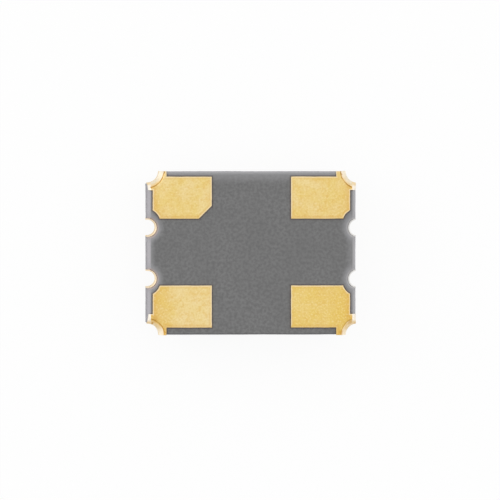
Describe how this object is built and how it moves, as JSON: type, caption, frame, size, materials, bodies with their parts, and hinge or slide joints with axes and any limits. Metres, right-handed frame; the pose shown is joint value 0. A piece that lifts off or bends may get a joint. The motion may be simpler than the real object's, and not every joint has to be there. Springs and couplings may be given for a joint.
{
  "type": "crystal oscillator",
  "caption": "Surface-mount crystal oscillator: a flat rectangular ceramic package with gold corner solder pads, half-round side contacts and a welded metal lid.",
  "frame": {"origin": "centre of the lid's outer face, on which the part lies with its solder pads up", "axes": "+X along the package, away from the end with the index-marked pad; +Y across the package, towards the edge with the index-marked pad; +Z out of the solder pads"},
  "size_m": [0.0032, 0.0024, 0.001],
  "materials": {
    "ceramic": "matte",
    "gold_plating": "satin",
    "inner_metal": "satin",
    "rim_metal": "satin",
    "braze": "satin",
    "ring_metal": "satin",
    "lid_metal": "satin",
    "silicon": "gloss",
    "gold": "satin",
    "quartz": "polished",
    "silver_film": "polished",
    "silver_adhesive": "matte"
  },
  "bodies": {
    "root": {"ceramic_base": "ceramic", "terminal_enable": "gold_plating", "terminal_ground": "gold_plating", "terminal_output": "gold_plating", "terminal_supply": "gold_plating", "monitor_contact_a": "gold_plating", "monitor_contact_b": "gold_plating", "setting_contact_a": "gold_plating", "setting_contact_b": "gold_plating", "trace_enable": "inner_metal", "trace_ground": "inner_metal", "trace_output": "inner_metal", "trace_supply": "inner_metal", "trace_monitor_a": "inner_metal", "trace_monitor_b": "inner_metal", "trace_setting_a": "inner_metal", "trace_setting_b": "inner_metal", "crystal_vias": "inner_metal", "ground_via": "inner_metal", "crystal_lands": "gold", "rim_metallising": "rim_metal", "braze_joint": "braze", "seal_ring": "ring_metal", "lid": "lid_metal", "oscillator_chip": "silicon", "chip_bumps": "gold", "quartz_blank": "quartz", "electrode_upper": "silver_film", "electrode_lower": "silver_film", "adhesive_dots": "silver_adhesive"}
  },
  "joints": []
}
